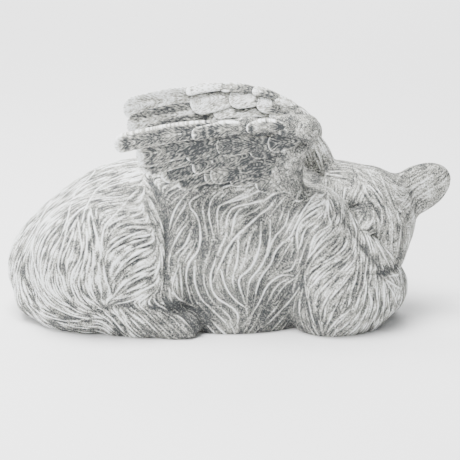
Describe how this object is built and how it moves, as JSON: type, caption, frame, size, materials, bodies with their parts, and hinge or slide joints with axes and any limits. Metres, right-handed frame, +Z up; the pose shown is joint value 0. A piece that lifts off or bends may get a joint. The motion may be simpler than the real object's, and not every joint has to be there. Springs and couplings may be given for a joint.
{
  "type": "winged sleeping pet memorial statue",
  "caption": "Cast stone-mix garden memorial: a longhaired pet asleep on its belly with raised feathered wings, resting on its flat underside.",
  "frame": {"origin": "middle of the bounding box, on the flat underside", "axes": "+X from rump to head, +Y away from the side that the head is turned to, +Z up"},
  "size_m": [0.302, 0.1438, 0.1499],
  "materials": {
    "cast_stone": "matt grey stone mix, dark wash in the recesses and a pale dry-brushed tone on the ridges"
  },
  "bodies": {
    "root": {"winged_animal_statue": "cast_stone"}
  },
  "joints": []
}
